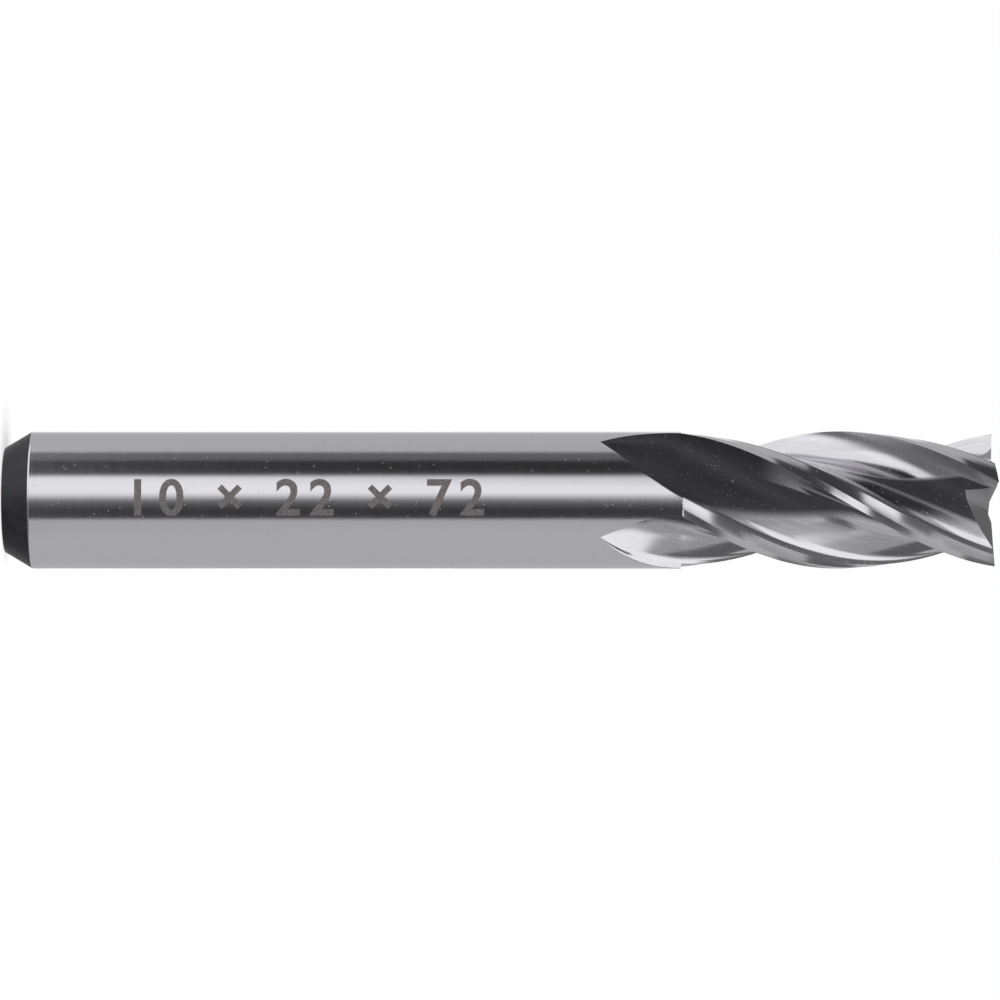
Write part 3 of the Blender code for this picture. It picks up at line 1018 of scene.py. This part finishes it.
depsgraph = bpy.context.evaluated_depsgraph_get()
ground = bpy.data.meshes.new_from_object(
    end_mill.evaluated_get(depsgraph), preserve_all_data_layers=True, depsgraph=depsgraph
)
end_mill.modifiers.clear()
end_mill.data = ground
for cutter in cutters:
    bpy.data.objects.remove(cutter)
ground.shade_smooth()
ground.set_sharp_from_angle(angle=SHARP_ANGLE)

check = bmesh.new()
check.from_mesh(ground)
print("faces:", len(ground.polygons), "materials:", [material.name for material in ground.materials])
print("open edges:", sum(not edge.is_manifold for edge in check.edges))
print("volume, mm3:", round(check.calc_volume() / MM**3, 1))
check.free()

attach(end_mill, "root")
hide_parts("end_mill")

# %% [markdown]
# ## The size mark
#
# The shank carries an electro-etched mark. Here it holds only plain numbers: the tool's diameter, the
# length of its flutes and its overall length in millimetres. Etching leaves a dull film, so the mark is a
# piece of its own, thinner than a hair, that is wrapped round the bar and sunk into it.

# %% The mark as flat text
MARK_TEXT = "10 × 22 × 72"
MARK_BOLDNESS = 0.02
MARK_SPACING = 1.32
CURVE_STEPS = 5
SAME_TEXT_POINT = 1e-5


def flat_text(text):
    """The text as a flat mesh in the XY plane, from the built-in font."""
    curve = bpy.data.curves.new("mark_text", "FONT")
    curve.body = text
    curve.offset = MARK_BOLDNESS
    curve.space_character = MARK_SPACING
    curve.resolution_u = CURVE_STEPS
    lettering = bpy.data.objects.new("mark_text", curve)
    mesh = bmesh.new()
    mesh.from_mesh(lettering.to_mesh())
    lettering.to_mesh_clear()
    bpy.data.objects.remove(lettering)
    bmesh.ops.remove_doubles(mesh, verts=mesh.verts, dist=SAME_TEXT_POINT)
    return mesh


mark_mesh = flat_text(MARK_TEXT)
print("faces in the flat text:", len(mark_mesh.faces))

# %% [markdown]
# The flat letters are cut into narrow strips so that they can bend, given a thickness, and laid round the
# front of the shank.

# %% The mark wrapped round the shank
MARK_START = 9.7 * MM
MARK_HEIGHT = 2.75 * MM
MARK_MIDDLE = math.radians(2.1)
MARK_STRIP = 0.15 * MM
MARK_DEPTH = 0.03 * MM
MARK_RISE = 0.004 * MM
MARK_SHARP_ANGLE = math.radians(30.0)


def scaled_to_height(mesh):
    left = min(vert.co.x for vert in mesh.verts)
    foot = min(vert.co.y for vert in mesh.verts)
    head = max(vert.co.y for vert in mesh.verts)
    scale = MARK_HEIGHT / (head - foot)
    for vert in mesh.verts:
        vert.co = Vector(((vert.co.x - left) * scale, (vert.co.y - (foot + head) / 2) * scale, 0))


def cut_into_strips(mesh):
    strips = round(MARK_HEIGHT / MARK_STRIP)
    for i in range(1, strips):
        level = MARK_HEIGHT * (i / strips - 0.5)
        everything = mesh.verts[:] + mesh.edges[:] + mesh.faces[:]
        bmesh.ops.bisect_plane(mesh, geom=everything, plane_co=(0, level, 0), plane_no=(0, 1, 0))


def wrap_round_shank(mesh):
    """Thickens the flat mark and bends it, so that it is sunk into the bar and stands a little proud."""
    radius = {vert: EDGE_RADIUS - MARK_DEPTH for vert in mesh.verts}
    raised = bmesh.ops.extrude_face_region(mesh, geom=mesh.faces[:], use_keep_orig=True)["geom"]
    for item in raised:
        if isinstance(item, bmesh.types.BMVert):
            radius[item] = EDGE_RADIUS + MARK_RISE
    for vert in mesh.verts:
        angle = MARK_MIDDLE + vert.co.y / EDGE_RADIUS
        out = radius[vert]
        vert.co = Vector((-out * math.sin(angle), -out * math.cos(angle), MARK_START + vert.co.x))
    bmesh.ops.recalc_face_normals(mesh, faces=mesh.faces)


scaled_to_height(mark_mesh)
cut_into_strips(mark_mesh)
wrap_round_shank(mark_mesh)
print("mark ends at, mm:", round(max(vert.co.z for vert in mark_mesh.verts) / MM, 2))
print("open edges:", sum(not edge.is_manifold for edge in mark_mesh.edges))

mark_data = finished_mesh("size_mark", mark_mesh)
mark_data.materials.append(etched_mark())
size_mark = new_object("size_mark", mark_data)
mark_data.shade_smooth()
mark_data.set_sharp_from_angle(angle=MARK_SHARP_ANGLE)
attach(size_mark, "root")

# %% [markdown]
# ## The studio
#
# Polished steel shows its surroundings and little else, so the studio matters as much as the tool. It is a
# grey room with light and dark cards round the tool. A card is given by the directions that it fills, seen
# from the tool: azimuth 0 is towards the camera and 90 is the top of the picture, and elevation 90 is past
# the teeth. Each card covers what was hung before it.

# %% The studio's cards
ROOM_LEVEL = 0.55
# Azimuth from and to, elevation from and to, softness of the azimuth and elevation borders, level
STUDIO_CARDS = {
    "light past the teeth": (-140, 42, 34, 95, 9, 5, 1.2),
    "light past the heels": (-150, -25, 27, 50, 14, 4, 1.2),
    "dark past the teeth": (84, 165, 30, 95, 30, 12, 0.05),
    "fall beside the black card": (12, 80, 16, 32, 50, 4, 0.04),
    "black card": (36, 112, 15, 34, 24, 4, 0.025),
    "grey under the heels": (-100, -50, 16, 27, 16, 4, 0.4),
    "dark under the heels": (-147, -98, 7, 21, 8, 4, 0.14),
    "low light": (10, 64, -95, -14, 30, 8, 1.2),
    "low light on the left": (44, 106, -95, -10, 12, 4, 1.1),
    "dusk on the right": (-62, 0, -95, -12, 20, 8, 0.2),
    "grey past the shank": (-140, -60, -95, -22, 20, 8, 0.24),
    "strip light": (-60, 38, -11, 6, 9, 2, 0.94),
    "brightest part of it": (4, 26, -11, 6, 14, 2, 1.12),
    "bright left part of it": (0, 39, -11, -4, 7, 4, 1.15),
    "fall of the strip light": (-60, 5, -11, 6, 18, 2, 0.14),
    "end of the fall": (-60, -9, -11, 6, 16, 2, 0.04),
    "grey strip": (-110, -32, -11, 6, 3, 2, 0.56),
    "black strip": (42, 88, -11, 6, 5, 2, 0.15),
    "black strip's core": (44, 70, -11, 6, 5, 2, 0.03),
    "black strip below the lands": (-46, 3, 6, 15, 12, 2, 0.1),
    "grey strip below the lands": (-36, 3, 15, 22, 8, 2, 0.12),
    "black strip above the lands": (30, 86, 6, 24, 4, 2, 0.06),
    "strip light for the lands": (-4, 18, 6, 13, 5, 2, 1.2),
    "wide end of that strip light": (-4, 32, 12, 22, 5, 2, 1.2),
    "white backdrop": (158, 202, -20, 20, 16, 6, 1.0),
}
CARD_VALUES = [f"{axis} {side}" for axis in ("Azimuth", "Elevation") for side in ("from", "to")]
CARD_VALUES += ["Azimuth softness", "Elevation softness", "Card level"]
print("cards:", len(STUDIO_CARDS))

# %% [markdown]
# One node group hangs one card over the level so far. Its mask is the product of four soft steps, one at each
# of the card's borders.

# %% Group: a card of the studio
def studio_direction(tree):
    """Azimuth and elevation of a direction, in degrees."""
    direction = add_node(tree, "ShaderNodeTexCoord").outputs["Generated"]
    axes = add_node(tree, "ShaderNodeSeparateXYZ", {0: direction}).outputs
    left, towards = times(tree, axes["X"], -1), times(tree, axes["Y"], -1)
    azimuth = math_node(tree, "DEGREES", math_node(tree, "ARCTAN2", left, towards))
    elevation = math_node(tree, "DEGREES", math_node(tree, "ARCSINE", axes["Z"]))
    return azimuth, elevation


def card_group():
    inputs = {name: "Float" for name in ["Level", "Azimuth", "Elevation", *CARD_VALUES]}
    tree, given, result = new_group("studio_card", inputs, {"Level": "Float"})
    mask = 1.0
    for axis in ("Azimuth", "Elevation"):
        half = times(tree, given[f"{axis} softness"], 0.5)
        for side, step in (("from", soft_step), ("to", soft_fall)):
            border = given[f"{axis} {side}"]
            before = math_node(tree, "SUBTRACT", border, half)
            after = math_node(tree, "ADD", border, half)
            mask = times(tree, mask, step(tree, given[axis], before, after))
    difference = math_node(tree, "SUBTRACT", given["Card level"], given["Level"])
    tree.links.new(math_node(tree, "MULTIPLY_ADD", difference, mask, given["Level"]), result["Level"])
    return tree


CARD = card_group()
print("group:", CARD.name)

# %% [markdown]
# The cards are hung one after another in the world's tree. The camera sees plain white instead.

# %% The world
ROOM_TINT = (0.985, 0.98, 1.0)
WHITE = (1, 1, 1)

world = bpy.data.worlds.new("studio")
bpy.context.scene.world = world
world.use_nodes = True
tree = world.node_tree
azimuth, elevation = studio_direction(tree)
level = add_node(tree, "ShaderNodeValue").outputs[0]
level.default_value = ROOM_LEVEL
for card in STUDIO_CARDS.values():
    inputs = {"Level": level, "Azimuth": azimuth, "Elevation": elevation, **dict(zip(CARD_VALUES, card))}
    level = add_group(tree, CARD, inputs)["Level"]

seen = add_node(tree, "ShaderNodeLightPath").outputs["Is Camera Ray"]
background = tree.nodes["Background"].inputs
# A mix of two numbers has them at its inputs 2 and 3
strength = add_node(tree, "ShaderNodeMix", {0: seen, 2: level, 3: 1.0}).outputs[0]
tree.links.new(strength, background["Strength"])
tree.links.new(blend_colours(tree, seen, ROOM_TINT, WHITE), background["Color"])
print("nodes in the studio:", len(tree.nodes))

# %% [markdown]
# ## The floor
#
# The tool stands on a white floor. It glows a little for the camera, so that it is as white as the background
# but for a soft shadow. Rays that come off the steel pass through it, and so they show the studio alone.

# %% The floor
FLOOR_SIZE = 4
FLOOR_COLOUR = (0.9, 0.9, 0.9)
FLOOR_ROUGHNESS = 0.9
FLOOR_GLOW = 0.56

floor_mesh = bmesh.new()
bmesh.ops.create_grid(floor_mesh, x_segments=1, y_segments=1, size=FLOOR_SIZE)
floor_data = finished_mesh("floor", floor_mesh)
floor = new_object("floor", floor_data)

floor_material, tree, shader = new_material("white_floor")
shader.inputs["Base Color"].default_value = (*FLOOR_COLOUR, 1)
shader.inputs["Roughness"].default_value = FLOOR_ROUGHNESS
shader.inputs["Specular IOR Level"].default_value = 0
shader.inputs["Emission Color"].default_value = (*WHITE, 1)
path = add_node(tree, "ShaderNodeLightPath").outputs
tree.links.new(times(tree, path["Is Camera Ray"], FLOOR_GLOW), shader.inputs["Emission Strength"])
clear = add_node(tree, "ShaderNodeBsdfTransparent").outputs[0]
inputs = {0: path["Is Glossy Ray"], 1: shader.outputs[0], 2: clear}
mix = add_node(tree, "ShaderNodeMixShader", inputs).outputs[0]
tree.links.new(mix, tree.nodes["Material Output"].inputs["Surface"])
floor_data.materials.append(floor_material)
bpy.context.scene.view_settings.view_transform = "Standard"
print("floor material:", floor_material.name)
